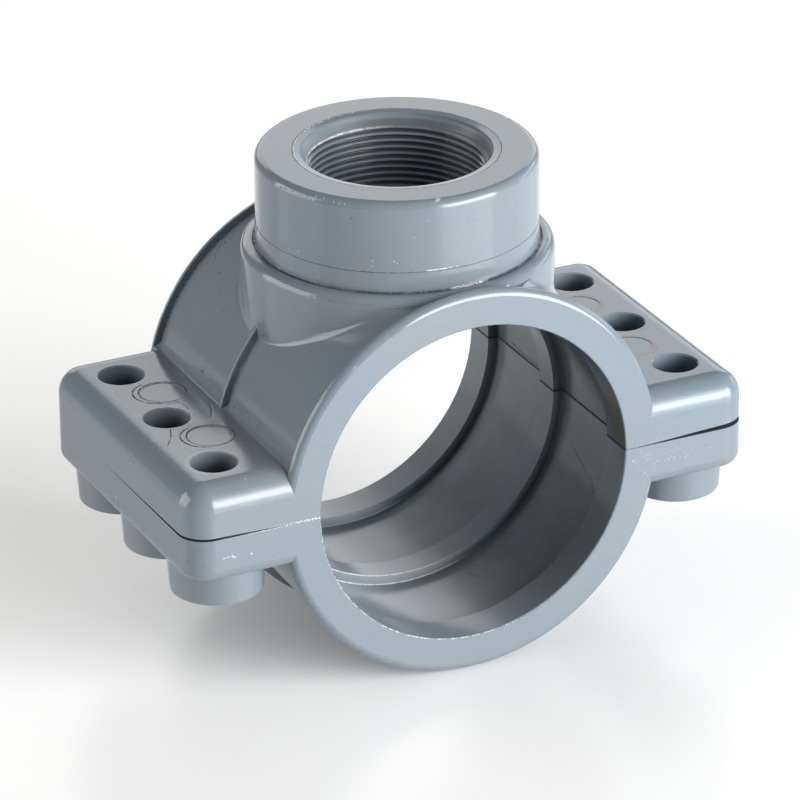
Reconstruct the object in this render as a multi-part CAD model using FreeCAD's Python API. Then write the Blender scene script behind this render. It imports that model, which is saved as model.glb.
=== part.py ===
import FreeCAD, Part
import math
import os

os.makedirs("parts", exist_ok=True)

# Tapping saddle for a 110 mm pipe with a 2 inch pipe-thread branch.
# Frame: origin on the run pipe's axis, straight below the branch's axis.
# +X across the bolt flanges, +Y along the run pipe, +Z up the branch.
# All sizes are in millimetres.

V = FreeCAD.Vector
X_AXIS, Y_AXIS, Z_AXIS = V(1, 0, 0), V(0, 1, 0), V(0, 0, 1)
ORIGIN = V(0, 0, 0)

# ---------------------------------------------------------------- run clamp
run_r = 55.0            # pipe-contact lands, 110 mm pipe
run_len = 112.6         # length along the pipe
pocket_r = 58.4         # relief between the lands
end_land_len = 13.1     # land at each end
mid_land_half = 5.0     # half length of the middle land
step_slope = 0.35       # axial run of each land's step wall
step_round = 0.35       # edge radius of the steps
mouth_break = 0.35      # broken edge at each end of the bore

shell_r = 65.0          # outside of the half shells
rim_r = 67.2            # outside of the end rims
rim_len = 3.1           # axial width of an end rim
rim_edge_r = 2.6        # rounding of a rim's end edge
rim_back_r = 0.3        # rounding of a rim's inner edge
rib_r = 67.3            # thin middle rib
rib_half = 1.25         # half width of the middle rib
rib_edge_r = 0.6        # rounding of the rib's crown
step_root_r = 0.4       # small fillet where a rim or rib meets the shell

# ------------------------------------------------------------- bolt flanges
flange_x = 101.0        # half span across both flanges
flange_top = 17.6       # thickness of the upper flanges
flange_bottom = 15.6    # thickness of the lower flanges
flange_corner_r = 9.0   # upright corners
upper_edge_r = 8.2      # rounding of the upper flanges' top edge
lower_edge_r = 4.6      # rounding of the lower flanges' bottom edge
root_r = 3.0            # fillet between flange and shell
gap_right = 1.9         # opening between the flanges at the +X end
gap_left = 1.0          # opening between the flanges at the -X front corner
gap_start_x = 60.0      # the flanges touch inside this
gap_left_end_y = 12.0   # the -X opening has closed here

bolt_x = 83.5           # bolt rows
bolt_pitch = 37.0       # bolt to bolt along a flange
bolt_hole_r = 7.4
bolt_hole_break = 0.5   # broken edge of a bolt hole

boss_top_r = 16.2       # bolt bosses under the lower flanges
boss_low_r = 15.2
boss_z = -26.5
boss_edge_r = 1.2

eject_x = 76.7          # shallow round ejector marks on the upper flanges
eject_y = 18.5
eject_r = 7.5
eject_depth = 0.18

# ------------------------------------------------------------------- branch
skirt_r = 51.4          # wide foot of the branch
skirt_blend_side = 6.0  # blend between the foot and the shell, at the sides
skirt_blend_end = 0.5   # the same blend where the foot nears the end rims
ledge_z = 65.5          # top of the foot
skirt_edge_r = 3.0
branch_r = 46.3         # round branch boss
branch_line_z = 72.6    # tool joint round the boss
branch_line_step = 0.12
branch_foot_r = 0.6
branch_top = 96.4
branch_edge_r = 2.8

mouth_r = 33.8          # shallow ledge round the mouth, at the branch's face
ledge_in_r = 31.5       # inner edge of that ledge
ledge_in_z = 96.05
plain_r = 31.35         # short plain wall below the ledge
plain_z = 94.9          # from here a lead-in cone narrows to the thread
thread_r = 29.85        # thread's root radius, 2 inch pipe thread
thread_top_z = 92.9
thread_low_z = 64.0
passage_r = 25.0        # way through to the pipe
passage_z = 61.2

# ---------------------------------------------------------------- seal ring
seat_r = 36.5           # round pad left standing in the relief
groove_in_r = 28.3
groove_out_r = 33.7
groove_floor_r = 58.8   # groove floor, measured from the run axis
seal_side_gap = 0.1
seal_face_r = 55.05     # pipe side of the seal ring, level with the lands
seal_edge_r = 0.9

half = run_len / 2.0


# ------------------------------------------------------------------ helpers
def arc(p, q, centre):
    """Short arc from p to q round a centre, all in one plane."""
    a, b = p.sub(centre), q.sub(centre)
    m = a.add(b)
    m.normalize()
    m.multiply(a.Length)
    return Part.Arc(p, centre.add(m), q).toShape()


def rounded_outline(points, plane):
    """Closed wire through (u, v, radius) corners; a radius of 0 is sharp."""
    n = len(points)
    ends = []
    for i in range(n):
        u, v, r = points[i]
        pu, pv, _ = points[i - 1]
        nu, nv, _ = points[(i + 1) % n]
        if r <= 0:
            ends.append((plane(u, v), plane(u, v), None))
            continue
        a = V(pu - u, pv - v, 0)
        b = V(nu - u, nv - v, 0)
        a.normalize()
        b.normalize()
        angle = a.getAngle(b)
        t = r / math.tan(angle / 2.0)
        c = a.add(b)
        c.normalize()
        c.multiply(r / math.sin(angle / 2.0))
        ends.append((plane(u + a.x * t, v + a.y * t),
                     plane(u + b.x * t, v + b.y * t),
                     plane(u + c.x, v + c.y)))
    edges = []
    for i in range(n):
        s, e, c = ends[i]
        if c is not None:
            edges.append(arc(s, e, c))
        q = ends[(i + 1) % n][0]
        if e.distanceToPoint(q) > 1e-6:
            edges.append(Part.makeLine(e, q))
    return Part.Wire(edges)


def about_y(points, angle=360.0, start=0.0):
    """Turn (radius, y, rounding) corners about the run axis."""
    wire = rounded_outline(points, lambda u, v: V(u, v, 0))
    face = Part.Face(wire)
    if start:
        face.rotate(ORIGIN, Y_AXIS, -start)
    return face.revolve(ORIGIN, V(0, -1, 0), angle)


def about_z(points, angle=360.0):
    """Turn (radius, z, rounding) corners about the branch axis."""
    wire = rounded_outline(points, lambda u, v: V(u, 0, v))
    return Part.Face(wire).revolve(ORIGIN, Z_AXIS, angle)


def solid_of(shape):
    """The one solid in a result."""
    shape = shape.removeSplitter()
    solids = shape.Solids
    solids.sort(key=lambda s: -s.Volume)
    if len(solids) > 1 and solids[1].Volume > 1.0:
        raise RuntimeError("more than one solid: %s" % [s.Volume for s in solids])
    return solids[0]


def block(x0, x1, y0, y1, z0, z1):
    return Part.makeBox(x1 - x0, y1 - y0, z1 - z0, V(x0, y0, z0))


# ------------------------------------------------------------- outer shells
def shell_profile():
    """Rims, plain shell and middle rib, as corners about the run axis."""
    y1 = half - rim_len
    return [
        (0, -half, 0),
        (rim_r, -half, rim_edge_r),
        (rim_r, -y1, rim_back_r),
        (shell_r, -y1, step_root_r),
        (shell_r, -rib_half, step_root_r),
        (rib_r, -rib_half, rib_edge_r),
        (rib_r, rib_half, rib_edge_r),
        (shell_r, rib_half, step_root_r),
        (shell_r, y1, step_root_r),
        (rim_r, y1, rim_back_r),
        (rim_r, half, rim_edge_r),
        (0, half, 0),
    ]


def flange(side, z_low, z_high, edge_r):
    """One bolt flange with upright rounded corners; one long side is rounded."""
    x_in, x_out = 20.0, flange_x
    body = block(x_in, x_out, -half, half, min(z_low, z_high), max(z_low, z_high))
    uprights = []
    for e in body.Edges:
        a, b = e.Vertexes[0].Point, e.Vertexes[1].Point
        if abs(a.x - x_out) < 1e-6 and abs(b.x - x_out) < 1e-6 and abs(a.y - b.y) < 1e-6:
            uprights.append(e)
    body = body.makeFillet(flange_corner_r, uprights)
    level = z_high if z_high > 0 else z_low
    rim_edges = []
    for e in body.Edges:
        on_level = all(abs(v.Point.z - level) < 1e-6 for v in e.Vertexes)
        inner = all(abs(v.Point.x - x_in) < 1e-6 for v in e.Vertexes)
        if on_level and not inner:
            rim_edges.append(e)
    body = body.makeFillet(edge_r, rim_edges)
    if side < 0:
        body = body.mirror(ORIGIN, X_AXIS)
    return body


def root_fillet(side, level, radius):
    """Concave fillet between a flange's face at this level and the shell."""
    s = 1.0 if level > 0 else -1.0
    zc = abs(level) + radius
    xc = math.sqrt((shell_r + radius) ** 2 - zc ** 2)
    k = shell_r / (shell_r + radius)
    y1 = half - rim_len + 0.2
    p1 = V(side * xc, -y1, level)
    p2 = V(side * xc * k, -y1, s * zc * k)
    c = V(side * xc, -y1, s * zc)
    inside1 = V(side * (xc - 9.0), -y1, level - s * 3.0)
    inside0 = V(side * xc, -y1, level - s * 3.0)
    wire = Part.Wire([
        arc(p1, p2, c),
        Part.makeLine(p2, inside1),
        Part.makeLine(inside1, inside0),
        Part.makeLine(inside0, p1),
    ])
    return Part.Face(wire).extrude(V(0, 2 * y1, 0))


def run_bore():
    """Everything inside the clamp: lands, relief pockets and broken ends."""
    over = 2.0
    b = mouth_break
    return about_y([
        (0, -half - over, 0),
        (run_r + b + over, -half - over, 0),
        (run_r, -half + b, 0),
        (run_r, half - b, 0),
        (run_r + b + over, half + over, 0),
        (0, half + over, 0),
    ])


def pocket(y0, y1):
    """One relief pocket between two lands."""
    r, s = step_round, step_slope
    return about_y([
        (run_r - 3.0, y0, 0),
        (run_r, y0, 0),
        (pocket_r, y0 + s, r),
        (pocket_r, y1 - s, r),
        (run_r, y1, 0),
        (run_r - 3.0, y1, 0),
    ])


def bolt_holes(z0, z1):
    """Six bolt holes, with broken edges at the two outside faces."""
    cuts = []
    for sx in (-1, 1):
        for k in (-1, 0, 1):
            at = V(sx * bolt_x, k * bolt_pitch, 0)
            hole = Part.makeCylinder(bolt_hole_r, z1 - z0 + 4, at.add(V(0, 0, z0 - 2)))
            b = bolt_hole_break
            if z1 > 1:
                hole = hole.fuse(Part.makeCone(bolt_hole_r, bolt_hole_r + b + 1, b + 1, at.add(V(0, 0, z1 - b))))
            if z0 < -1:
                hole = hole.fuse(Part.makeCone(bolt_hole_r + b + 1, bolt_hole_r, b + 1, at.add(V(0, 0, z0 - 1))))
            cuts.append(hole)
    return cuts


# --------------------------------------------------------------- upper half
# Plain shell and the branch's foot. A quarter of them is blended where the
# two cylinders meet, with a radius that fades towards the end rims, and is
# then mirrored all round.
spare = 20.0
barrel = Part.makeCylinder(shell_r, half + spare, ORIGIN, Y_AXIS).common(
    block(0, 80, 0, half + spare, 0, 80))
foot = Part.makeCylinder(skirt_r, 90.0 - 25.0, V(0, 0, 25.0)).common(
    block(0, 80, 0, 80, 0, 100))
quarter = barrel.fuse(foot).removeSplitter()
seam = []
for e in quarter.Edges:
    pts = e.discretize(9)
    if all(abs(math.hypot(p.x, p.y) - skirt_r) < 0.02 and
           abs(math.hypot(p.x, p.z) - shell_r) < 0.02 for p in pts):
        seam.append(e)
if len(seam) != 1:
    raise RuntimeError("seam edges: %d" % len(seam))
blends = [quarter.makeFillet(a, b, seam) for a, b in (
    (skirt_blend_end, skirt_blend_side), (skirt_blend_side, skirt_blend_end))]
# The seam is longer-bodied at the side, so the right law adds more material.
blends.sort(key=lambda q: q.Volume)
quarter = blends[-1]
# The foot is cut down to its ledge, with a rounded edge; the shell stays whole.
rounding = about_z([
    (0, ledge_z, 0),
    (skirt_r, ledge_z, skirt_edge_r),
    (skirt_r, ledge_z - skirt_edge_r, 0),
    (skirt_r + 30.0, ledge_z - skirt_edge_r, 0),
    (skirt_r + 30.0, 95.0, 0),
    (0, 95.0, 0),
])
quarter = quarter.cut(rounding).fuse(barrel).removeSplitter()
quarter = quarter.common(block(0, 80, 0, half, 0, 100)).Solids[0]
near = quarter.fuse(quarter.mirror(ORIGIN, X_AXIS))
blended = near.fuse(near.mirror(ORIGIN, Y_AXIS)).removeSplitter()

# Branch boss standing on the foot.
boss = about_z([
    (0, 50.0, 0),
    (branch_r - 2.0, 50.0, 0),
    (branch_r - 2.0, ledge_z - 1.0, 0),
    (branch_r + branch_foot_r + 0.6, ledge_z - 1.0, 0),
    (branch_r + branch_foot_r + 0.6, ledge_z, 0),
    (branch_r + branch_line_step, ledge_z, branch_foot_r),
    (branch_r + branch_line_step, branch_line_z - 0.15, 0),
    (branch_r, branch_line_z, 0),
    (branch_r, branch_top, branch_edge_r),
    (0, branch_top, 0),
])

shell_top = about_y(shell_profile(), 180.0)
upper = blended.fuse([shell_top, boss])
upper = upper.fuse([flange(1, 0, flange_top, upper_edge_r),
                    flange(-1, 0, flange_top, upper_edge_r)])
upper = upper.fuse([root_fillet(1, flange_top, root_r),
                    root_fillet(-1, flange_top, root_r)])

# The clamp's inside. A round pad is left in the relief for the seal ring.
upper = upper.cut(run_bore())
pad = Part.makeCylinder(seat_r, 80.0)
for y0, y1 in ((-half + end_land_len, -mid_land_half), (mid_land_half, half - end_land_len)):
    upper = upper.cut(pocket(y0, y1).cut(pad))

# Groove for the seal ring round the outlet.
ring = Part.makeCylinder(groove_out_r, 40.0, V(0, 0, 30.0)).cut(
    Part.makeCylinder(groove_in_r, 40.0, V(0, 0, 30.0)))
floor_y = Part.makeCylinder(groove_floor_r, 120.0, V(0, -60.0, 0), Y_AXIS)
upper = upper.cut(ring.common(floor_y))

# Branch bore: mouth, plain entry, threaded length, way through.
upper = upper.cut(about_z([
    (0, 20.0, 0),
    (passage_r, 20.0, 0),
    (passage_r, passage_z, 0),
    (thread_r, thread_low_z, 0),
    (thread_r, thread_top_z, 0),
    (plain_r, plain_z, 0),
    (ledge_in_r, ledge_in_z, 0),
    (mouth_r, branch_top, 0),
    (mouth_r + 0.2, branch_top + 2.0, 0),
    (0, branch_top + 2.0, 0),
]))
upper = upper.cut(bolt_holes(0, flange_top))

# Shallow ejector marks between the bolt holes.
marks = []
for sx in (-1, 1):
    for sy in (-1, 1):
        marks.append(Part.makeCylinder(eject_r, 2.0, V(sx * eject_x, sy * eject_y, flange_top - eject_depth)))
upper = upper.cut(marks)

# The mating faces touch beside the bore and open outwards.
def relief(corners, drop=1.0):
    """Slim prism: the corners give its sloping top, its bottom is level."""
    top = [V(*c) for c in corners]
    low = [V(c[0], c[1], -drop) for c in corners]
    n = len(top)
    faces = [Part.Face(Part.makePolygon(top + [top[0]])),
             Part.Face(Part.makePolygon(low + [low[0]]))]
    for i in range(n):
        j = (i + 1) % n
        faces.append(Part.Face(Part.makePolygon([top[i], top[j], low[j], low[i], top[i]])))
    solid = Part.makeSolid(Part.makeShell(faces))
    if solid.Volume < 0:
        solid.reverse()
    return solid


xo = flange_x + 4.0
right_z = gap_right * (xo - gap_start_x) / (flange_x - gap_start_x)
upper = upper.cut(relief([
    (gap_start_x, -half - 4, 0.0), (xo, -half - 4, right_z),
    (xo, half + 4, right_z), (gap_start_x, half + 4, 0.0)]))
# Left: highest at the front corner, closed beside the bore and further back.
k = gap_left / (flange_x - gap_start_x)
m = gap_left / (gap_left_end_y + half)


def left_z(x, y):
    return gap_left - k * (x + flange_x) - m * (y + half)


front_y = -half - 4.0
back_y = -half + (gap_left - k * (-xo + flange_x)) / m
inner_x = -flange_x + (gap_left - m * (front_y + half)) / k
upper = upper.cut(relief([
    (-xo, front_y, left_z(-xo, front_y)),
    (inner_x, front_y, 0.0),
    (-xo, back_y, 0.0)]))
upper = solid_of(upper)

# --------------------------------------------------------------- lower half
shell_low = about_y(shell_profile(), 180.0, 180.0)
lower = shell_low.fuse([flange(1, -flange_bottom, 0, lower_edge_r),
                        flange(-1, -flange_bottom, 0, lower_edge_r)])
lower = lower.fuse([root_fillet(1, -flange_bottom, root_r),
                    root_fillet(-1, -flange_bottom, root_r)])
bosses = []
for sx in (-1, 1):
    for j in (-1, 0, 1):
        b = about_z([
            (0, -2.0, 0),
            (boss_top_r - 2.5, -2.0, 0),
            (boss_top_r - 2.5, -flange_bottom + 5.0, 0),
            (boss_top_r + 0.1, -flange_bottom + 5.0, 0),
            (boss_low_r, boss_z, boss_edge_r),
            (0, boss_z, 0),
        ])
        b.translate(V(sx * bolt_x, j * bolt_pitch, 0))
        bosses.append(b)
# A boss's side stays inside the flange's upright faces.
envelope = block(-flange_x + 1.2, flange_x - 1.2, -half + 1.2, half - 1.2, -40, -1.0)
lower = lower.fuse([b.common(envelope) for b in bosses])
lower = lower.cut(run_bore())
for y0, y1 in ((-half + end_land_len, -mid_land_half), (mid_land_half, half - end_land_len)):
    lower = lower.cut(pocket(y0, y1))
lower = lower.cut(bolt_holes(boss_z, 0))
lower = solid_of(lower)

# ---------------------------------------------------------------- seal ring
seal = Part.makeCylinder(groove_out_r - seal_side_gap, 40.0, V(0, 0, 30.0)).cut(
    Part.makeCylinder(groove_in_r + seal_side_gap, 40.0, V(0, 0, 30.0)))
seal = seal.common(floor_y)
seal = seal.cut(Part.makeCylinder(seal_face_r, 120.0, V(0, -60.0, 0), Y_AXIS))
seal = solid_of(seal)
try:
    rounded = seal.makeFillet(seal_edge_r, seal.Edges)
    if rounded.isValid() and len(rounded.Solids) == 1:
        seal = rounded.Solids[0]
except Exception as problem:
    print("seal ring keeps sharp edges:", problem)

# ------------------------------------------------------------------- output
for name, solid in (("upper_saddle_half", upper),
                    ("lower_saddle_half", lower),
                    ("outlet_seal_ring", seal)):
    box = solid.BoundBox
    print("%-18s valid %s  volume %.1f cm3  faces %d  x %.1f..%.1f  y %.1f..%.1f  z %.1f..%.1f" % (
        name, solid.isValid(), solid.Volume / 1000.0, len(solid.Faces),
        box.XMin, box.XMax, box.YMin, box.YMax, box.ZMin, box.ZMax))
    solid.exportStep("parts/%s.step" % name)
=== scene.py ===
import math

import bpy
import numpy as np
from mathutils import Matrix, Vector


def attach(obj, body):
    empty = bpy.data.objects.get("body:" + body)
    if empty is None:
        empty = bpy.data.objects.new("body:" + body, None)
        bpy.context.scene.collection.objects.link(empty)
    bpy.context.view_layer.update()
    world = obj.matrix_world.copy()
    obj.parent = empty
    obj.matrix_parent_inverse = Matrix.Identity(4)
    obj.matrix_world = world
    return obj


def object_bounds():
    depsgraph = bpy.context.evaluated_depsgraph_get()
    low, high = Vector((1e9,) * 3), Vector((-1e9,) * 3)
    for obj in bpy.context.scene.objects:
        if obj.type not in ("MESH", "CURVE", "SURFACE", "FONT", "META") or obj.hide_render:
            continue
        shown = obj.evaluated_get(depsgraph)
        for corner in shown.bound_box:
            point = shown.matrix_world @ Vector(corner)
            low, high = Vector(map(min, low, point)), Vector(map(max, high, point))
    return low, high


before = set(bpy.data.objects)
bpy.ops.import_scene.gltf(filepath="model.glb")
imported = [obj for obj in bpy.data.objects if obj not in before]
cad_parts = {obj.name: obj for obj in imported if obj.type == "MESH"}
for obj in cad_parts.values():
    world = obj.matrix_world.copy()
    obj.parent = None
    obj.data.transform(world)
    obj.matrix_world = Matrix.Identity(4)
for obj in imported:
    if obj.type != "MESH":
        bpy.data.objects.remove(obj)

# Looks of a grey plastic tapping saddle. Everything is in metres, in the row
# frame: +X across the bolt flanges, +Y along the run pipe, +Z up the branch.

cad_lo, cad_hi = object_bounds()
scene = bpy.context.scene
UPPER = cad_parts["upper_saddle_half"]
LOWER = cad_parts["lower_saddle_half"]
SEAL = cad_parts["outlet_seal_ring"]

# ---------------------------------------------------------------- the thread
THREAD_ROOT = 29.78e-3      # a little inside the solid's plain wall
THREAD_CREST = 28.33e-3
PITCH = 2.309e-3
THREAD_TOP = 92.9e-3        # the lead-in cone meets the root here, opening upwards
THREAD_LOW = 64.6e-3
CONE_SLOPE = 0.75           # radius gained for each unit of height in the cone
SLEEVE_OUT = 30.7e-3
PHASE = -0.55e-3            # where the crests lie along the branch


def thread_profile():
    """(share of a pitch, share of the depth) over one turn: 55 degree flanks
    with crests and roots rounded to 0.1373 of the pitch; the root comes first."""
    rounded = []
    for deg in (0.0, 20.0, 42.0, 62.5):
        a = math.radians(deg)
        rounded.append((0.1373 * math.sin(a), 0.1373 * (1.0 - math.cos(a)) / 0.6403))
    root = [(w, d) for w, d in rounded]
    crest = [(0.5 - w, 1.0 - d) for w, d in rounded[::-1]]
    rise = root + [(0.25, 0.5)] + crest
    fall = [(1.0 - w, d) for w, d in rise[-2:0:-1]]
    return rise + fall


def build_thread():
    prof = thread_profile()
    m, n = len(prof), 150
    turns = 15
    z_start = THREAD_LOW - 1.6 * PITCH + PHASE
    rows = turns * m

    def wall(z):
        # the lead-in cone cuts the crests near the mouth
        return 29.82e-3 + (z - THREAD_TOP) * CONE_SLOPE

    def point(i, j):
        k, q = divmod(j, m)
        share, deep = prof[q]
        z = z_start + (k + share + i / n) * PITCH
        # the last turn fades out at the bottom
        fade = min(1.0, max(0.0, (z - THREAD_LOW) / (1.1 * PITCH)))
        r = THREAD_ROOT - (THREAD_ROOT - THREAD_CREST) * deep * fade
        if z > THREAD_TOP - 2.6e-3:
            r = max(r, wall(z))
        low_z = 63.2e-3
        high_z = THREAD_TOP + 0.2e-3
        z = min(max(z, low_z), high_z)
        if z <= low_z or z >= high_z:
            r = SLEEVE_OUT - 0.25e-3
        a = 2 * math.pi * i / n
        return Vector((r * math.cos(a), r * math.sin(a), z))

    # inner skin: columns wrap onto the next turn; a plain outer skin closes it
    verts, faces = [], []
    index = {}
    for side in (0, 1):
        for i in range(n):
            for j in range(rows):
                p = point(i, j)
                if side:
                    s = SLEEVE_OUT / math.hypot(p.x, p.y)
                    p = Vector((p.x * s, p.y * s, p.z))
                index[side, i, j] = len(verts)
                verts.append(p)

    def at(side, i, j):
        if i >= n:
            i, j = i - n, j + m
        return index.get((side, i, j))

    edge_use = {}
    for i in range(n):
        for j in range(rows - 1):
            q = [(i, j), (i + 1, j), (i + 1, j + 1), (i, j + 1)]
            ids = [at(0, *c) for c in q]
            outs = [at(1, *c) for c in q]
            if None in ids:
                continue
            faces.append(ids[::-1])
            faces.append(outs)
            for a, b, oa, ob in zip(ids, ids[1:] + ids[:1], outs, outs[1:] + outs[:1]):
                key = (min(a, b), max(a, b))
                edge_use.setdefault(key, []).append((a, b, oa, ob))
    for used in edge_use.values():
        if len(used) == 1:
            a, b, oa, ob = used[0]
            faces.append([a, b, ob, oa])
    mesh = bpy.data.meshes.new("branch_thread_turns")
    mesh.from_pydata([tuple(v) for v in verts], [], faces)
    import bmesh
    bm = bmesh.new()
    bm.from_mesh(mesh)
    bmesh.ops.remove_doubles(bm, verts=bm.verts, dist=2e-6)
    bmesh.ops.dissolve_degenerate(bm, edges=bm.edges, dist=1e-6)
    loose = [v for v in bm.verts if not v.link_faces]
    bmesh.ops.delete(bm, geom=loose, context="VERTS")
    bmesh.ops.recalc_face_normals(bm, faces=bm.faces)
    for f in bm.faces:
        f.smooth = True
    bm.to_mesh(mesh)
    bm.free()
    mesh.validate()
    obj = bpy.data.objects.new("branch_thread_turns", mesh)
    scene.collection.objects.link(obj)
    return obj


thread = build_thread()
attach(thread, "root")


# ----------------------------------------------------------------- materials
class Net:
    """Short calls for building one node material."""

    def __init__(self, name):
        self.mat = bpy.data.materials.new(name)
        self.mat.use_nodes = True
        self.t = self.mat.node_tree
        self.t.nodes.clear()
        self.out = self.t.nodes.new("ShaderNodeOutputMaterial")
        self.bsdf = self.t.nodes.new("ShaderNodeBsdfPrincipled")
        self.t.links.new(self.bsdf.outputs[0], self.out.inputs["Surface"])
        tc = self.t.nodes.new("ShaderNodeTexCoord")
        mm = self.t.nodes.new("ShaderNodeVectorMath")
        mm.operation = "SCALE"
        mm.inputs["Scale"].default_value = 1000.0
        self.t.links.new(tc.outputs["Object"], mm.inputs[0])
        self.p = mm.outputs[0]
        # the same place once more, for the textures: they take it without a conversion
        mq = self.t.nodes.new("ShaderNodeMapping")
        mq.inputs["Scale"].default_value = (1000.0, 1000.0, 1000.0)
        self.t.links.new(tc.outputs["Object"], mq.inputs[0])
        self.q = mq.outputs[0]
        sep = self.t.nodes.new("ShaderNodeSeparateXYZ")
        self.t.links.new(self.p, sep.inputs[0])
        self.x, self.y, self.z = sep.outputs
        geo = self.t.nodes.new("ShaderNodeNewGeometry")
        nrm = self.t.nodes.new("ShaderNodeVectorTransform")
        nrm.vector_type = "NORMAL"
        nrm.convert_from, nrm.convert_to = "WORLD", "OBJECT"
        self.t.links.new(geo.outputs["Normal"], nrm.inputs[0])
        sn = self.t.nodes.new("ShaderNodeSeparateXYZ")
        self.t.links.new(nrm.outputs[0], sn.inputs[0])
        self.nx, self.ny, self.nz = sn.outputs

    def put(self, socket, value):
        if isinstance(value, bpy.types.NodeSocket):
            self.t.links.new(value, socket)
        elif value is not None:
            if hasattr(socket.default_value, "__len__") and isinstance(value, (tuple, list)):
                value = tuple(value) + (1.0,) * (len(socket.default_value) - len(value))
            socket.default_value = value

    def m(self, op, a, b=None, c=None, clamp=False):
        node = self.t.nodes.new("ShaderNodeMath")
        node.operation = op
        node.use_clamp = clamp
        for s, v in zip(node.inputs, (a, b, c)):
            self.put(s, v)
        return node.outputs[0]

    def add(self, *v):
        r = v[0]
        for q in v[1:]:
            r = self.m("ADD", r, q)
        return r

    def sub(self, a, b):
        return self.m("SUBTRACT", a, b)

    def mul(self, *v):
        r = v[0]
        for q in v[1:]:
            r = self.m("MULTIPLY", r, q)
        return r

    def abs(self, a):
        return self.m("ABSOLUTE", a)

    def maxi(self, *v):
        r = v[0]
        for q in v[1:]:
            r = self.m("MAXIMUM", r, q)
        return r

    def mini(self, *v):
        r = v[0]
        for q in v[1:]:
            r = self.m("MINIMUM", r, q)
        return r

    def length(self, a, b):
        return self.m("SQRT", self.add(self.mul(a, a), self.mul(b, b)))

    def ramp(self, v, lo, hi, a=0.0, b=1.0, smooth=True):
        node = self.t.nodes.new("ShaderNodeMapRange")
        node.interpolation_type = "SMOOTHSTEP" if smooth else "LINEAR"
        node.clamp = not smooth     # the smooth form stays between its ends by itself
        self.put(node.inputs["Value"], v)
        node.inputs["From Min"].default_value = lo
        node.inputs["From Max"].default_value = hi
        node.inputs["To Min"].default_value = a
        node.inputs["To Max"].default_value = b
        return node.outputs[0]

    def band(self, v, at, half, soft):
        """1 within half of at, fading to 0 over soft."""
        return self.ramp(self.abs(self.sub(v, at)), half, half + soft, 1.0, 0.0)

    def inside(self, v, lo, hi, soft):
        """1 between lo and hi, fading over soft outside them."""
        return self.mul(self.ramp(v, lo - soft, lo), self.ramp(v, hi, hi + soft, 1.0, 0.0))

    def noise(self, scale, detail=2.0, rough=0.5, stretch=None, seed=0.0, distortion=0.0):
        vec = self.q
        if stretch or seed:
            mp = self.t.nodes.new("ShaderNodeMapping")
            self.t.links.new(vec, mp.inputs[0])
            mp.inputs["Location"].default_value = (seed * 17.3, seed * 9.1, seed * 5.7)
            if stretch:
                mp.inputs["Scale"].default_value = stretch
            vec = mp.outputs[0]
        node = self.t.nodes.new("ShaderNodeTexNoise")
        self.t.links.new(vec, node.inputs["Vector"])
        node.inputs["Scale"].default_value = scale
        node.inputs["Detail"].default_value = detail
        node.inputs["Roughness"].default_value = rough
        node.inputs["Distortion"].default_value = distortion
        return node.outputs[0]

    def spots(self, scale, size, seed=0.0, keep=1.0):
        """Small round dots at random places; 1 on a dot."""
        mp = self.t.nodes.new("ShaderNodeMapping")
        self.t.links.new(self.q, mp.inputs[0])
        mp.inputs["Location"].default_value = (seed * 3.1, seed * 7.7, seed * 1.9)
        node = self.t.nodes.new("ShaderNodeTexVoronoi")
        node.feature = "F1"
        self.t.links.new(mp.outputs[0], node.inputs["Vector"])
        node.inputs["Scale"].default_value = scale
        dot = self.ramp(node.outputs["Distance"], size * 0.5, size, 1.0, 0.0)
        if keep < 1.0:
            sep = self.t.nodes.new("ShaderNodeSeparateColor")
            self.t.links.new(node.outputs["Color"], sep.inputs[0])
            dot = self.mul(dot, self.ramp(sep.outputs[0], keep, keep + 0.01, 1.0, 0.0))
        return dot

    def vec(self, op, a, b=None, scale=None):
        node = self.t.nodes.new("ShaderNodeVectorMath")
        node.operation = op
        self.put(node.inputs[0], a)
        if b is not None:
            self.put(node.inputs[1], b)
        if scale is not None:
            self.put(node.inputs["Scale"], scale)
        return node.outputs["Value"] if op in ("LENGTH", "DISTANCE", "DOT_PRODUCT") else node.outputs[0]

    def wobble(self, amount, scale, seed=0.0):
        """The position, shaken a little, for marks with ragged edges."""
        mp = self.t.nodes.new("ShaderNodeMapping")
        self.t.links.new(self.q, mp.inputs[0])
        mp.inputs["Location"].default_value = (seed * 5.3, seed * 2.9, seed * 8.1)
        node = self.t.nodes.new("ShaderNodeTexNoise")
        self.t.links.new(mp.outputs[0], node.inputs["Vector"])
        node.inputs["Scale"].default_value = scale
        node.inputs["Detail"].default_value = 2.0
        off = self.vec("SCALE", self.vec("SUBTRACT", node.outputs["Color"], (0.5, 0.5, 0.5)), scale=2.0 * amount)
        return self.vec("ADD", self.p, off)

    def along(self, points, p):
        """Distance from p to a line through the points."""
        best = None
        for a, b in zip(points[:-1], points[1:]):
            a, b = Vector(a), Vector(b)
            ab = b - a
            d = self.vec("SUBTRACT", p, tuple(a))
            h = self.m("MAXIMUM", self.m("MINIMUM", self.vec("DOT_PRODUCT", d, tuple(ab / ab.length_squared)), 1.0), 0.0)
            dist = self.vec("LENGTH", self.vec("SUBTRACT", d, self.vec("SCALE", tuple(ab), scale=h)))
            best = dist if best is None else self.m("MINIMUM", best, dist)
        return best

    def line(self, points, half, soft, p):
        return self.ramp(self.along(points, p), half, half + soft, 1.0, 0.0)

    def dots(self, items, soft, p):
        """Round marks from (x, y, z, radius)."""
        best = None
        for x, y, z, r in items:
            d = self.sub(self.vec("DISTANCE", p, (x, y, z)), r)
            best = d if best is None else self.m("MINIMUM", best, d)
        return self.ramp(best, 0.0, soft, 1.0, 0.0)

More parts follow.
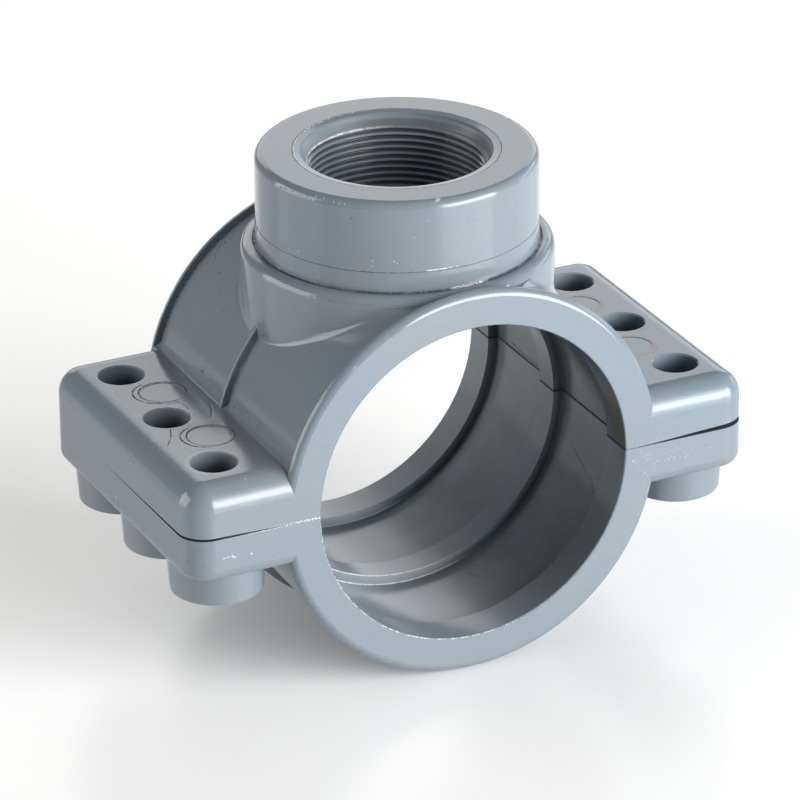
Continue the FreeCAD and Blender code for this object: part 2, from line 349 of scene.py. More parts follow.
    def ring(self, cx, cy, r, half, soft, p):
        """A circle seen from above."""
        sep = self.t.nodes.new("ShaderNodeSeparateXYZ")
        self.t.links.new(p, sep.inputs[0])
        rr = self.length(self.sub(sep.outputs[0], cx), self.sub(sep.outputs[1], cy))
        return self.band(rr, r, half, soft)

    def mix(self, f, a, b):
        node = self.t.nodes.new("ShaderNodeMix")
        node.data_type = "RGBA"
        node.clamp_factor = True
        self.put(node.inputs["Factor"], f)
        self.put(node.inputs[6], a)
        self.put(node.inputs[7], b)
        return node.outputs[2]

    def bump(self, height, distance, strength=1.0, normal=None):
        node = self.t.nodes.new("ShaderNodeBump")
        node.inputs["Strength"].default_value = strength
        node.inputs["Distance"].default_value = distance
        self.t.links.new(height, node.inputs["Height"])
        if normal is not None:
            self.t.links.new(normal, node.inputs["Normal"])
        return node.outputs[0]


GREY = (0.168, 0.205, 0.237)       # the moulding's own blue grey
GREY_DULL = (0.173, 0.201, 0.223)
GREY_COOL = (0.155, 0.201, 0.241)
INK_AND_SHADE = (0.012, 0.013, 0.015)
CHALK_AND_HIGHLIGHT = (0.62, 0.64, 0.64)
TAN = (0.205, 0.130, 0.058)


class Marks:
    """Keeps the strongest of many marks, joined one by one."""

    def __init__(self, net):
        self.net, self.v = net, None

    def append(self, v):
        self.v = v if self.v is None else self.net.m("MAXIMUM", self.v, v)


def pvc(name, upper):
    n = Net(name)
    x, y, z = n.x, n.y, n.z
    rz = n.length(x, y)             # from the branch axis
    ry = n.length(x, z)             # from the run axis
    # soft, slow colour drift and faint flow streaks
    drift = n.noise(0.018, 3.0, 0.55)
    fine = n.noise(1.1, 4.0, 0.65, seed=2.0)
    flow = n.noise(0.05, 2.0, 0.5, stretch=(1.0, 0.35, 2.2), seed=4.0)
    col = n.mix(n.ramp(drift, 0.35, 0.65), GREY_DULL, GREY_COOL)
    col = n.mix(n.ramp(flow, 0.42, 0.68, 0.0, 0.5), col, GREY)
    col = n.mix(n.ramp(fine, 0.50, 0.78, 0.0, 0.16), col, (0.26, 0.29, 0.31))
    col = n.mix(n.ramp(fine, 0.50, 0.22, 0.0, 0.16), col, (0.10, 0.115, 0.13))
    gritty = n.spots(0.55, 0.10, seed=1.0, keep=0.25)
    col = n.mix(n.mul(gritty, 0.35), col, (0.42, 0.44, 0.45))
    grit_dark = n.spots(0.42, 0.09, seed=5.0, keep=0.18)
    col = n.mix(n.mul(grit_dark, 0.5), col, (0.05, 0.055, 0.06))

    # inside of the clamp: duller and browner in patches, more in the pockets than on the lands and more towards +X
    bore = n.mul(n.ramp(ry, 58.9, 59.6, 1.0, 0.0), n.ramp(n.abs(y), 56.0, 56.25, 1.0, 0.0))
    inside_patches = n.noise(0.06, 4.0, 0.6, seed=7.0)
    pocketed = n.ramp(ry, 55.6, 57.8, 0.45, 1.0)
    inside_tint = n.mul(bore, pocketed, n.ramp(x, -28.0, 34.0, 0.12, 1.0))
    col = n.mix(n.mul(inside_tint, n.ramp(inside_patches, 0.3, 0.75, 0.25, 0.65)), col, (0.128, 0.126, 0.122))
    if upper:
        # painted shade: the upper half's bore darkened towards +X
        col = n.mix(n.mul(bore, n.ramp(x, 5.0, 40.0, 0.1, 0.42)), col, (0.060, 0.060, 0.062))
    else:
        # painted shade: the lower half's bore darkened towards -X
        bore_left_shade = n.mul(bore, n.ramp(x, -22.0, -38.0))
        col = n.mix(n.mul(bore_left_shade, 0.42), col, (0.075, 0.086, 0.090))
        # painted sheen: a pale blue grey patch on the bottom of the lower bore, towards the front
        bore_bottom_sheen = n.mul(bore, n.inside(x, -20.0, 12.0, 16.0), n.ramp(y, -4.0, -20.0))
        col = n.mix(n.mul(bore_bottom_sheen, 0.16), col, (0.265, 0.335, 0.405))
    # painted shade: a dark line in the foot of each land's step, stronger towards +X
    step_foot_shade = n.maxi(n.band(n.abs(y), 5.38, 0.12, 0.25), n.band(n.abs(y), 42.82, 0.12, 0.25))
    col = n.mix(n.mul(bore, step_foot_shade, n.ramp(x, -20.0, 30.0, 0.1, 0.7)), col, (0.02, 0.021, 0.023))
    # painted shade down the bolt holes
    ya = n.abs(y)
    hole = n.length(n.sub(n.abs(x), 83.5), n.mini(ya, n.abs(n.sub(ya, 37.0))))
    hole_shade = n.mul(n.ramp(hole, 7.42, 7.6, 1.0, 0.0), n.ramp(z, 17.3, 9.0), n.ramp(z, -26.2, -24.0))
    col = n.mix(n.mul(hole_shade, 0.72), col, (0.040, 0.046, 0.052))

    rag = n.wobble(0.35, 0.9, seed=1.0)
    tiny = n.wobble(0.12, 2.6, seed=2.0)
    broken = n.ramp(n.noise(0.8, 3.0, 0.6, seed=9.0), 0.40, 0.52)
    dotted = n.ramp(n.noise(1.6, 1.0, 0.5, seed=11.0), 0.47, 0.53)
    gaps = n.ramp(n.noise(0.35, 2.0, 0.5, seed=12.0), 0.38, 0.50)
    dark_marks_and_shade, pale_marks_and_highlights, tan = Marks(n), Marks(n), Marks(n)
    top_face = n.mul(n.ramp(z, 17.0, 17.3), n.ramp(z, 18.4, 18.8, 1.0, 0.0))

    # painted shade in the feet of the end rims and the middle rib; the dark joint between the halves; painted shade on
    # the mating faces in the gap near their outer edges
    rim_foot_shade_band = n.mul(n.ramp(ry, 64.7, 64.85), n.ramp(ry, 65.25, 65.5, 1.0, 0.0))
    dark_marks_and_shade.append(n.mul(rim_foot_shade_band, n.maxi(n.band(ya, 53.0, 0.10, 0.14), n.band(ya, 1.72, 0.08, 0.14)), dotted, 0.85))
    joint_in = n.mul(n.ramp(ry, 58.9, 59.4, 1.0, 0.0), n.ramp(n.abs(z), 0.32, 0.52, 1.0, 0.0), n.ramp(ya, 56.0, 56.2, 1.0, 0.0))
    dark_marks_and_shade.append(n.mul(joint_in, n.ramp(x, 10.0, 30.0, 0.35, 1.0)))
    joint_out = n.mul(n.ramp(y, -56.15, -56.25), n.ramp(n.abs(z), 0.10, 0.26, 1.0, 0.0), n.ramp(x, 54.0, 55.0))
    dark_marks_and_shade.append(n.mul(joint_out, n.add(0.55, n.mul(dotted, 0.45))))
    edge_in = n.maxi(n.ramp(n.abs(x), 95.5, 97.5), n.ramp(ya, 50.5, 52.5))
    # painted shade on the mating faces inside the gap between the halves, near the outer edges
    gap_face_shade = n.mul(n.ramp(n.abs(n.nz), 0.93, 0.97), n.ramp(z, -0.03, -0.01), n.ramp(z, 2.2, 2.5, 1.0, 0.0), n.ramp(ry, 60.5, 61.5))
    dark_marks_and_shade.append(n.mul(gap_face_shade, edge_in, 0.9))

    if upper:
        # ejector marks on the flanges: ragged dark rings on the left, stained ones on the right
        for cx, cy in ((-76.8, 18.7), (-76.3, -18.4)):
            left = n.ramp(x, -79.5, -81.0)
            dark_marks_and_shade.append(n.mul(n.ring(cx, cy, 7.8, 0.15, 0.24, rag), top_face, n.add(0.62, n.mul(broken, 0.38))))
            dark_marks_and_shade.append(n.mul(n.ring(cx - 1.3, cy + 0.2, 8.5, 0.15, 0.26, rag), top_face, left, n.add(0.35, n.mul(broken, 0.65))))
            # painted highlight: a faint broken pale ring along the inner edge of each left ejector mark
            pale_marks_and_highlights.append(n.mul(n.ring(cx, cy, 7.30, 0.06, 0.25, rag), top_face, broken, 0.25))
        for cx, cy in ((76.7, 18.5), (76.6, -18.6)):
            right = n.ramp(x, 76.0, 79.0)
            tan.append(n.mul(n.ring(cx, cy, 8.3, 0.20, 0.35, rag), top_face, right, n.add(0.40, n.mul(gaps, 0.60))))
        squiggle = n.wobble(0.9, 0.55, seed=7.0)
        tan.append(n.line([(84.1, -10.6, 17.6), (86.6, -8.4, 17.6), (88.8, -8.1, 17.6)], 0.22, 0.4, squiggle))
        tan.append(n.mul(n.line([(89.7, -10.2, 17.6), (88.8, -16.2, 17.6), (88.9, -21.0, 17.6)], 0.15, 0.4, squiggle), dotted, 0.9))
        tan.append(n.mul(n.line([(76.8, -10.6, 17.6), (82.9, -11.6, 17.6), (84.6, -13.0, 17.6)], 0.25, 0.5, squiggle), broken))
        tan.append(n.line([(75.3, -26.9, 17.6), (80.9, -26.6, 17.6), (83.6, -24.2, 17.6)], 0.30, 0.4, rag))
        tan.append(n.mul(n.line([(79.2, 26.0, 17.6), (84.2, 23.8, 17.6)], 0.2, 0.8, rag), broken, 0.8))
        # hairlines and scuffs on the left flange
        dark_marks_and_shade.append(n.line([(-85.9, -8.4, 17.6), (-88.2, -14.0, 17.6)], 0.10, 0.16, tiny))
        dark_marks_and_shade.append(n.mul(n.line([(-88.2, -14.0, 17.6), (-92.6, -20.7, 17.6)], 0.10, 0.18, tiny), dotted))
        pale_marks_and_highlights.append(n.mul(n.line([(-66.2, 3.7, 17.7), (-67.7, -1.7, 17.6), (-70.8, -7.7, 17.6)], 0.06, 0.22, tiny), 0.28))
        dark_marks_and_shade.append(n.mul(n.line([(-66.8, 3.9, 17.7), (-68.3, -1.5, 17.6), (-70.6, -5.6, 17.6)], 0.10, 0.2, tiny), 0.8))
        dark_marks_and_shade.append(n.mul(n.line([(-70.0, 17.2, 17.6), (-68.0, 16.2, 17.7)], 0.05, 0.2, tiny), 0.9))
        dark_marks_and_shade.append(n.mul(n.line([(-76.0, 10.2, 17.6), (-74.5, 7.9, 17.6), (-74.6, 3.4, 17.6)], 0.05, 0.25, rag), dotted))
        dark_marks_and_shade.append(n.mul(n.line([(-79.5, 9.6, 17.6), (-72.5, 9.2, 17.6), (-70.5, 11.4, 17.6)], 0.05, 0.3, rag), dotted, 0.8))
        scuff = n.line([(-83.0, -8.9, 17.6), (-73.0, -10.4, 17.6)], 1.6, 2.4, rag)
        dark_marks_and_shade.append(n.mul(scuff, n.ramp(n.noise(2.4, 2.0, 0.6, seed=14.0), 0.56, 0.62), 0.55))
        scuff2 = n.line([(-79.0, 10.8, 17.6), (-70.0, 8.6, 17.6)], 0.8, 1.8, rag)
        dark_marks_and_shade.append(n.mul(scuff2, n.ramp(n.noise(2.4, 2.0, 0.6, seed=15.0), 0.54, 0.60), 0.6))
        pale_marks_and_highlights.append(n.mul(n.line([(-95.2, -45.6, 16.7), (-96.5, -48.2, 15.9)], 0.10, 0.25, rag), dotted, 0.9))
        pale_marks_and_highlights.append(n.mul(n.dots([(-95.7, -52.0, 14.3, 0.18), (-93.8, -52.4, 15.0, 0.12), (-92.6, -52.4, 15.4, 0.15), (-79.0, -51.4, 16.8, 0.14),
                                  (-69.2, -28.0, 17.6, 0.12), (-86.9, -45.5, 17.6, 0.12)], 0.25, rag), 0.5))
        halo = n.mul(n.ring(-83.5, -37.0, 8.7, 0.35, 0.7, rag), top_face, n.ramp(x, -79.0, -86.0, 0.3, 1.0))
        pale_marks_and_highlights.append(n.mul(halo, n.add(0.07, n.mul(broken, 0.10))))
        halo = n.mul(n.ring(-83.5, 0.0, 8.2, 0.08, 0.35, rag), top_face, broken, n.ramp(x, -84.0, -78.0))
        pale_marks_and_highlights.append(n.mul(halo, 0.25))
        # black specks on the shell's left side, either end of the middle rib
        on_shell = n.mul(n.band(ry, 65.0, 0.25, 0.2), n.ramp(x, 0.0, -4.0))
        peppery = n.maxi(n.spots(1.15, 0.37, seed=3.0, keep=0.42), n.spots(1.9, 0.42, seed=8.0, keep=0.50))
        peppery = n.mul(peppery, n.ramp(n.noise(0.45, 2.0, 0.6, seed=28.0), 0.42, 0.52, 0.1, 1.0))
        a1 = n.ramp(n.along([(-61.5, 21.1, 21.1), (-62.0, 12.8, 19.6), (-62.2, 4.1, 19.0)], n.p), 1.0, 3.2, 1.0, 0.0)
        dark_marks_and_shade.append(n.mul(a1, peppery, on_shell))
        a2 = n.ramp(n.along([(-61.6, -6.5, 20.6), (-61.3, -16.0, 21.6), (-61.5, -23.5, 20.8)], n.p), 1.2, 4.4, 1.0, 0.0)
        dark_marks_and_shade.append(n.mul(a2, peppery, on_shell))
        a3 = n.ramp(n.along([(-61.4, -27.0, 21.3), (-61.2, -41.0, 22.0)], n.p), 0.8, 3.8, 0.7, 0.0)
        dark_marks_and_shade.append(n.mul(a3, n.spots(1.0, 0.36, seed=4.0, keep=0.55), on_shell))
        dark_marks_and_shade.append(n.dots([(-61.5, 21.1, 21.1, 0.3), (-61.5, 20.2, 21.0, 0.25), (-46.1, 40.0, 45.8, 0.25), (-49.3, 33.1, 42.3, 0.2),
                            (-51.6, 24.5, 39.5, 0.22), (-39.6, 49.8, 51.6, 0.25)], 0.2, tiny))
        dark_marks_and_shade.append(n.mul(n.line([(-40.4, 50.6, 50.9), (-43.0, 49.0, 48.8), (-45.8, 46.0, 46.2)], 0.15, 0.25, tiny), dotted))
        # the tool joint round the boss, with a painted highlight on part of it, and painted shade in the crevice at its
        # foot with a painted glint at the front
        on_boss = n.mul(n.band(rz, 46.3, 0.3, 0.2), n.ramp(z, 66.0, 66.4))
        joint = n.band(z, 72.58, 0.07, 0.18)
        dark_marks_and_shade.append(n.mul(on_boss, joint, n.add(0.3, n.mul(dotted, 0.7)), 0.75))
        # painted highlight: a pale broken line along part of the tool joint's lower edge
        pale_marks_and_highlights.append(n.mul(on_boss, n.band(z, 72.85, 0.10, 0.2), n.line([(-10.6, -45.1, 72.8), (-6.0, -45.9, 72.8), (-1.9, -46.3, 72.8)], 0.6, 1.0, tiny), broken))
        pale_marks_and_highlights.append(n.mul(on_boss, n.band(z, 72.85, 0.06, 0.2), dotted, gaps, 0.15))
        glint = n.mul(n.inside(x, -2.5, 8.5, 2.0), n.ramp(y, -20.0, -30.0))
        # painted shade in the crevice at the boss's foot, weaker where the painted glint lies
        boss_foot_shade = n.mul(n.band(rz, 46.6, 0.7, 0.4), n.band(z, 65.55, 0.28, 0.35), n.sub(1.0, n.mul(glint, 0.85)))
        dark_marks_and_shade.append(n.mul(boss_foot_shade, n.add(0.45, n.mul(broken, 0.4))))
        # painted glint on the foot's front
        pale_marks_and_highlights.append(n.mul(n.band(rz, 46.75, 0.30, 0.25), n.band(z, 65.72, 0.13, 0.18), glint, n.add(0.1, n.mul(dotted, 0.9))))
        # chips and specks on the boss
        chip = n.wobble(0.55, 1.3, seed=4.0)
        pale_marks_and_highlights.append(n.mul(n.dots([(-6.6, -43.9, 96.25, 0.42), (-7.6, -44.2, 96.05, 0.15)], 0.55, chip), 0.72))
        pale_marks_and_highlights.append(n.mul(n.dots([(-9.3, -44.2, 96.0, 0.1), (-39.5, -22.6, 95.4, 0.2), (-38.0, -25.0, 95.4, 0.15), (-40.4, -22.4, 94.4, 0.15),
                                  (-36.0, -28.3, 95.0, 0.12), (-34.8, -29.9, 95.0, 0.12), (-33.6, -31.3, 94.9, 0.15), (-24.0, 38.2, 95.9, 0.2)], 0.3, chip), 0.6))
        pale_marks_and_highlights.append(n.mul(n.dots([(-27.0, -37.6, 76.6, 0.16), (-21.2, -41.2, 76.5, 0.18), (-20.3, -41.6, 75.9, 0.12),
                                  (-27.0, -37.6, 74.7, 0.12), (-43.3, -16.5, 74.8, 0.14), (-11.0, -45.0, 90.2, 0.10),
                                  (21.0, -41.3, 88.0, 0.10), (30.2, -35.1, 79.3, 0.13), (-15.2, -43.7, 84.6, 0.10)], 0.2, tiny), 0.45))
        dark_marks_and_shade.append(n.mul(n.dots([(-46.2, 2.4, 84.7, 0.2), (-32.2, -33.3, 90.7, 0.2), (-45.3, -8.7, 94.6, 0.25), (-44.9, -10.6, 94.8, 0.25),
                                  (-44.0, -14.0, 94.9, 0.22), (-43.0, -17.2, 94.6, 0.2), (-41.6, -20.2, 94.9, 0.22), (-44.1, -13.0, 95.2, 0.15)], 0.2, tiny), 0.85))
        dark_marks_and_shade.append(n.mul(n.dots([(-43.7, 15.4, 77.3, 0.5), (-44.8, 11.8, 77.2, 0.4), (-43.4, 16.2, 73.1, 0.6), (-45.3, 9.6, 75.0, 0.3),
                                  (-45.0, 11.0, 72.5, 0.5), (-43.9, 14.6, 68.5, 0.8)], 0.6, rag), dotted, 0.9))
        burr = n.line([(-34.6, 28.6, 95.4), (-30.2, 33.4, 95.5), (-26.0, 36.8, 95.6)], 0.5, 0.8, rag)
        dark_marks_and_shade.append(n.mul(burr, dotted, n.ramp(n.noise(1.3, 2.0, 0.5, seed=23.0), 0.50, 0.56), 0.8))
        pale_marks_and_highlights.append(n.mul(burr, n.ramp(n.noise(1.3, 2.0, 0.5, seed=24.0), 0.56, 0.60)))
        # ripples by the middle rib's end, and creases beside the foot's left side
        ripple = n.wobble(0.25, 0.5, seed=6.0)
        for pts, w in (([(-51.4, -1.9, 45.5), (-51.1, -5.2, 45.8)], 0.12), ([(-51.4, -0.6, 43.2), (-51.1, -5.2, 43.9), (-50.9, -6.9, 43.3)], 0.16),
                       ([(-51.4, -0.5, 41.3), (-51.1, -5.1, 42.4), (-50.9, -7.3, 42.4)], 0.12)):
            dark_marks_and_shade.append(n.mul(n.line(pts, w, 0.35, ripple), n.add(0.30, n.mul(broken, 0.35))))
        dark_marks_and_shade.append(n.mul(n.line([(-48.8, 16.0, 61.6), (-50.1, 11.4, 56.5), (-50.5, 9.9, 49.4), (-50.7, 9.2, 43.4)], 0.12, 0.25, tiny), dotted, 0.7))
        dark_marks_and_shade.append(n.mul(n.line([(-44.3, 29.8, 47.6), (-48.0, 22.5, 43.9), (-49.4, 18.1, 42.3)], 0.12, 0.25, tiny), dotted, 0.6))
        dark_marks_and_shade.append(n.mul(n.line([(-46.4, 41.9, 45.6), (-45.8, 38.9, 46.1)], 0.08, 0.2, tiny), dotted, 0.7))
        # ledge round the mouth: a fine cut line with bright nicks
        lip = n.mul(n.ramp(z, 95.9, 96.1), 1.0)
        dark_marks_and_shade.append(n.mul(n.band(rz, 33.95, 0.07, 0.15), lip, n.add(0.35, n.mul(broken, 0.55))))
        pale_marks_and_highlights.append(n.mul(n.band(rz, 33.6, 0.10, 0.2), lip, dotted, n.ramp(y, 10.0, 22.0), n.ramp(x, 12.0, -2.0), 0.8))
        pale_marks_and_highlights.append(n.mul(n.band(rz, 33.5, 0.12, 0.2), lip, dotted, n.ramp(x, -22.0, -29.0), 0.6))
        pale_marks_and_highlights.append(n.mul(n.band(rz, 31.45, 0.10, 0.15), n.ramp(z, 95.4, 95.8), n.ramp(y, -8.0, -20.0), broken, 0.7))
        # painted highlight along the first crest, and painted shade lower in the thread's grooves
        first_crest_highlight = n.mul(n.band(rz, 29.15, 0.12, 0.16), n.ramp(z, 91.4, 91.7), n.ramp(z, 92.3, 92.6, 1.0, 0.0))
        crest_highlight_fade = n.mul(n.ramp(x, 14.0, -4.0, 0.15, 0.9), n.add(0.35, n.mul(broken, 0.65)))
        pale_marks_and_highlights.append(n.mul(first_crest_highlight, crest_highlight_fade))
        # painted shade, growing deeper down the thread's grooves
        groove_shade = n.mul(n.ramp(rz, 28.55, 29.35), n.ramp(rz, 29.90, 29.95, 1.0, 0.0), n.ramp(z, 92.6, 91.6), n.ramp(z, 62.0, 63.0))
        col = n.mix(n.mul(groove_shade, 0.80), col, (0.028, 0.031, 0.035))
        # painted shadow on the lead-in cone below the ledge, darker towards +X
        lead_in_shadow = n.mul(n.ramp(z, 94.7, 93.9), n.ramp(z, 91.6, 92.2), n.ramp(rz, 31.3, 31.1, 0.0, 1.0), n.ramp(rz, 33.0, 32.0))
        col = n.mix(n.mul(lead_in_shadow, n.ramp(x, -14.0, 8.0, 0.05, 0.5)), col, (0.05, 0.05, 0.05))
        # stain on the front contact land, right side
        olive = n.mul(n.ramp(ry, 57.0, 57.5, 1.0, 0.0), n.ramp(y, -46.0, -49.0), n.ramp(x, 46.0, 51.0), n.ramp(z, 0.0, 3.0), n.ramp(z, 27.0, 17.0),
                      n.ramp(y, -56.0, -55.8))
        col = n.mix(n.mul(olive, n.ramp(n.noise(0.12, 3.0, 0.6, seed=17.0), 0.3, 0.55, 0.35, 0.85)), col, (0.125, 0.116, 0.080))
        dark_marks_and_shade.append(n.mul(n.line([(58.3, 32.7, 2.0), (58.3, 22.0, 1.2), (58.3, 10.5, 1.4)], 0.1, 0.25, tiny), broken))
        # flecks on the left end face
        pale_marks_and_highlights.append(n.mul(n.dots([(-101, -10.0, 9.3, 0.25), (-100.2, -27.5, 13.8, 0.3), (-100.9, -33.0, 8.6, 0.15), (-99.6, -5.0, 14.7, 0.15)], 0.2, tiny), 0.4))
        dark_marks_and_shade.append(n.mul(n.dots([(-99.9, 31.0, 14.2, 0.25), (-101, 12.0, 7.0, 0.2)], 0.2, tiny), 0.7))
        # seam dust along the front joint
        seam = n.mul(n.ramp(y, -56.0, -56.2), n.ramp(z, 0.65, 0.25), n.inside(x, -80.0, -56.0, 1.5))
        pale_marks_and_highlights.append(n.mul(seam, dotted, 0.85))
    else:
        # scratches and flecks on the lower flanges' front
        pale_marks_and_highlights.append(n.mul(n.line([(-89.5, -56.3, -6.9), (-86.6, -56.3, -6.6), (-84.9, -56.3, -7.2)], 0.05, 0.2, tiny), dotted, 0.8))
        pale_marks_and_highlights.append(n.mul(n.line([(-86.4, -56.3, -6.5), (-85.6, -56.3, -7.3)], 0.08, 0.3, tiny), 0.7))
        pale_marks_and_highlights.append(n.mul(n.dots([(-79.6, -56.3, -7.3, 0.14)], 0.25, tiny), 0.8))
        tan.append(n.mul(n.dots([(-96.4, -55.8, -8.4, 0.45), (-100.0, -52.0, -7.6, 0.35), (-97.2, -55.4, -3.4, 0.4), (-98.4, -54.6, -9.6, 0.3)], 0.8, rag), 0.55))
        flecks = [(57.8, -4.7, 0.55), (60.9, -1.6, 0.3), (63.1, -3.6, 0.5), (65.8, -7.1, 0.55), (66.8, -6.4, 0.35), (71.1, -6.6, 0.5), (72.0, -5.9, 0.35),
                  (73.1, -6.7, 0.45), (77.2, -7.6, 0.5), (78.2, -6.8, 0.35), (81.0, -6.6, 0.3), (94.5, -3.5, 0.4), (62.2, -9.8, 0.4), (63.4, -11.0, 0.35), (86.4, -5.8, 0.3)]
        swirl = n.wobble(0.8, 1.1, seed=5.0)
        pale_marks_and_highlights.append(n.mul(n.dots([(a, -56.3, b, r * 0.22) for a, b, r in flecks], 0.3, swirl), 0.34))
        scuffed = n.line([(61.5, -56.3, -6.0), (80.0, -56.3, -6.8)], 2.0, 3.5, n.p)
        pale_marks_and_highlights.append(n.mul(scuffed, n.ramp(n.abs(n.sub(n.noise(0.55, 2.0, 0.6, seed=26.0, distortion=1.2), 0.5)), 0.006, 0.02, 1.0, 0.0),
                          n.ramp(n.noise(0.7, 1.0, 0.5, seed=27.0), 0.52, 0.60), 0.15))
        smear = n.maxi(n.line([(20.4, 39.5, -51.0), (22.5, 35.0, -50.2)], 0.4, 1.8, rag),
                       n.line([(18.4, -14.6, -55.3), (20.0, -20.0, -55.0)], 0.3, 1.4, rag))
        dark_marks_and_shade.append(n.mul(smear, broken, 0.5))
        dark_marks_and_shade.append(n.mul(n.line([(56.4, -15.1, -15.2), (54.6, -33.5, -20.9), (52.8, -38.6, -25.0), (51.1, -40.1, -28.2)], 0.05, 0.18, tiny), n.add(0.45, n.mul(broken, 0.5))))
        dark_marks_and_shade.append(n.mul(n.line([(46.3, -24.8, -35.6), (48.2, -27.0, -33.0), (49.1, -27.6, -31.6)], 0.05, 0.2, tiny), 0.8))
        dark_marks_and_shade.append(n.mul(n.dots([(54.0, -24.0, -22.3, 0.25), (55.3, -36.0, -18.6, 0.2), (50.4, -20.0, -29.5, 0.2)], 0.25, tiny), 0.8))
        # painted highlights along the lands' edges low on the left
        land_edge_highlight = n.mul(n.ramp(x, 24.0, -12.0), n.add(0.40, n.mul(broken, 0.45)))
        brow = n.band(ry, 55.12, 0.16, 0.14)
        toe = n.band(ry, 58.22, 0.14, 0.12)
        pale_marks_and_highlights.append(n.mul(land_edge_highlight, n.maxi(n.mul(brow, n.band(y, -5.03, 0.16, 0.1)), n.mul(toe, n.band(y, -5.36, 0.18, 0.12), 0.85))))
        pale_marks_and_highlights.append(n.mul(land_edge_highlight, n.ramp(x, 0.0, -22.0), n.maxi(n.mul(brow, n.band(y, 43.17, 0.16, 0.1)), n.mul(toe, n.band(y, 42.84, 0.18, 0.12), 0.8))))
        # painted highlight along the bore's front edge, stronger to the left
        pale_marks_and_highlights.append(n.mul(n.ramp(y, -55.9, -56.15), n.band(ry, 55.15, 0.08, 0.14), n.ramp(x, 34.0, -6.0, 0.25, 1.0), dotted, n.add(0.25, n.mul(broken, 0.75))))
        pale_marks_and_highlights.append(n.mul(n.dots([(-101, 2.8, -8.6, 0.22)], 0.2, tiny), 0.7))
        seam = n.mul(n.ramp(y, -56.0, -56.2), n.ramp(z, -0.45, -0.15), n.inside(x, -80.0, -56.0, 1.5))
        pale_marks_and_highlights.append(n.mul(seam, dotted, 0.7))

    # the marks go on last: tan stains, then pale marks with painted highlights, then dark marks with painted shade
    col = n.mix(n.mul(tan.v, 0.95), col, TAN)
    col = n.mix(n.mul(pale_marks_and_highlights.v, 0.9), col, CHALK_AND_HIGHLIGHT)
    col = n.mix(n.mul(dark_marks_and_shade.v, 0.92), col, INK_AND_SHADE)

    n.put(n.bsdf.inputs["Base Color"], col)
    rough = n.ramp(n.noise(0.05, 3.0, 0.6, seed=5.0), 0.3, 0.7, 0.09, 0.13)
    rough = n.add(rough, n.ramp(fine, 0.4, 0.8, 0.0, 0.04), n.mul(bore, 0.06))
    rough = n.add(rough, n.mul(n.inside(z, 91.0, 95.2, 0.3), n.ramp(rz, 33.0, 32.4), 0.22))
    rough = n.add(rough, n.mul(pale_marks_and_highlights.v, 0.25), n.mul(dark_marks_and_shade.v, 0.65))     # grime, open gaps, painted shade and painted highlights hardly shine
    n.put(n.bsdf.inputs["Roughness"], rough)
    n.bsdf.inputs["IOR"].default_value = 1.5
    grain = n.noise(2.6, 2.0, 0.6, seed=3.0)
    soft = n.noise(0.16, 2.0, 0.5, seed=6.0)
    b = n.bump(soft, 0.00005, 0.6)
    b = n.bump(grain, 0.000010, 0.6, b)
    n.put(n.bsdf.inputs["Normal"], b)
    return n.mat


def rubber():
    n = Net("seal_rubber_black")
    grain = n.noise(1.8, 3.0, 0.6)
    n.put(n.bsdf.inputs["Base Color"], n.mix(n.ramp(grain, 0.4, 0.7), (0.018, 0.018, 0.019), (0.035, 0.034, 0.033)))
    n.put(n.bsdf.inputs["Roughness"], n.ramp(grain, 0.3, 0.7, 0.55, 0.75))
    n.put(n.bsdf.inputs["Normal"], n.bump(grain, 0.00005, 0.5))
    return n.mat


def dress(obj, mat):
    obj.data.materials.clear() if not obj.data.materials else None
    if obj.data.materials:
        for i in range(len(obj.data.materials)):
            obj.data.materials[i] = mat
    else:
        obj.data.materials.append(mat)


upper_mat = pvc("grey_pvc_upper", True)
lower_mat = pvc("grey_pvc_lower", False)
dress(UPPER, upper_mat)
dress(LOWER, lower_mat)
dress(thread, upper_mat)
dress(SEAL, rubber())

# --------------------------------------------------------------------- floor
FLOOR_Z = cad_lo.z - 0.0001
bpy.ops.mesh.primitive_plane_add(size=8.0, location=(0, 0, FLOOR_Z))
floor = bpy.context.object
floor.name = "studio_floor"
fm = bpy.data.materials.new("pale_floor")
fm.use_nodes = True
fb = fm.node_tree.nodes["Principled BSDF"]
fb.inputs["Base Color"].default_value = (0.98, 0.98, 0.98, 1)
fb.inputs["Roughness"].default_value = 0.25
fb.inputs["Specular IOR Level"].default_value = 0.5
floor.data.materials.append(fm)

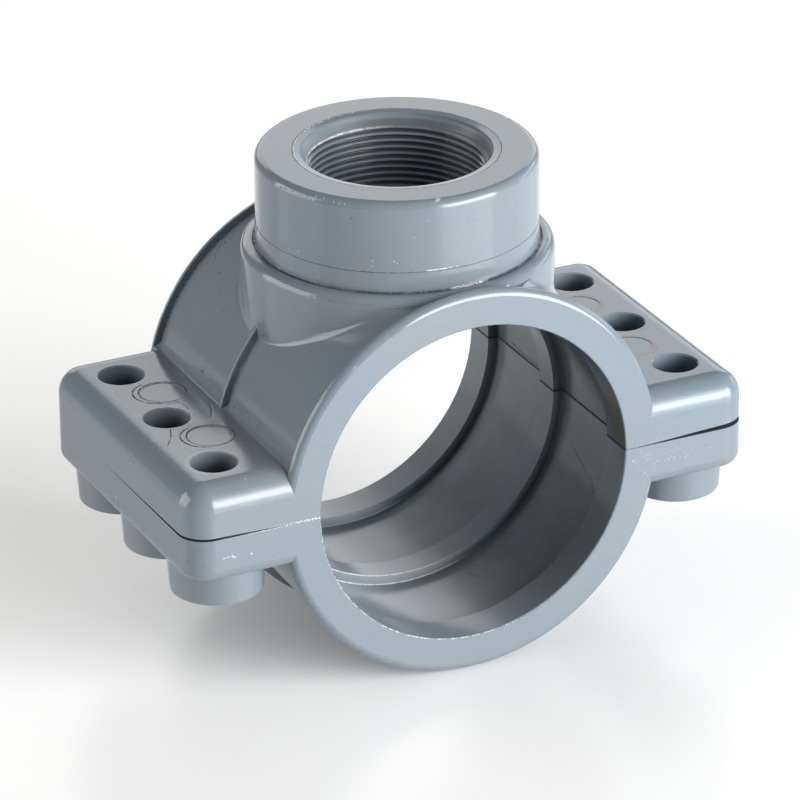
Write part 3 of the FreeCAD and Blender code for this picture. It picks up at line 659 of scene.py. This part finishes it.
# -------------------------------------------------------------------- camera
AZ, EL, ROLL = -0.4505594, 0.4378704, -0.0082278
DIST, FOCAL = 1.8779644, 5681.398
TARGET = Vector((0.0004645, 0.0, 0.0061638))
back = Vector((math.sin(AZ) * math.cos(EL), -math.cos(AZ) * math.cos(EL), math.sin(EL)))
fwd = -back
right = fwd.cross(Vector((0, 0, 1))).normalized()
up = right.cross(fwd)
r2 = math.cos(ROLL) * right + math.sin(ROLL) * up
u2 = -math.sin(ROLL) * right + math.cos(ROLL) * up
cam_data = bpy.data.cameras.new("camera")
cam = bpy.data.objects.new("camera", cam_data)
scene.collection.objects.link(cam)
rot = Matrix((r2, u2, back)).transposed()
cam.matrix_world = Matrix.Translation(TARGET + back * DIST) @ rot.to_4x4()
cam_data.sensor_width = 36.0
cam_data.lens = FOCAL / 800.0 * 36.0
cam_data.clip_start, cam_data.clip_end = 0.05, 50.0
cam_data.dof.use_dof = False
scene.camera = cam


# -------------------------------------------------------------------- lights
def softbox(name, azimuth, elevation, distance, width, height, radiance, colour=(1, 1, 1), aim=(0, 0, 0.02)):
    """A rectangular soft light; azimuth 0 is in front (-Y), 90 is on +X."""
    a, e = math.radians(azimuth), math.radians(elevation)
    d = Vector((math.sin(a) * math.cos(e), -math.cos(a) * math.cos(e), math.sin(e)))
    data = bpy.data.lights.new(name, "AREA")
    data.shape = "RECTANGLE"
    data.size, data.size_y = width, height
    data.energy = math.pi * width * height * radiance
    data.color = colour
    obj = bpy.data.objects.new(name, data)
    scene.collection.objects.link(obj)
    obj.location = Vector(aim) + d * distance
    obj.rotation_mode = "QUATERNION"
    obj.rotation_quaternion = d.to_track_quat("Z", "Y")
    return obj


softbox("key_low", 33, 10.5, 2.0, 1.75, 0.88, 13.9)
softbox("key_mid", 33, 28, 2.0, 1.55, 0.42, 6.2)
softbox("key_high", 38, 40, 2.0, 1.30, 0.42, 1.6)
softbox("left", -113, 15, 2.0, 1.65, 1.30, 4.2, (1.0, 0.97, 0.93))
softbox("right", 102, 12, 2.0, 1.1, 0.50, 1.8)
softbox("back", 157, 20, 2.0, 2.1, 0.95, 1.75)

world = bpy.data.worlds.new("studio")
scene.world = world
world.use_nodes = True
bg = world.node_tree.nodes["Background"]
bg.inputs["Color"].default_value = (1, 1, 1, 1)
bg.inputs["Strength"].default_value = 0.22
scene.view_settings.view_transform = "Standard"
scene.view_settings.look = "None"
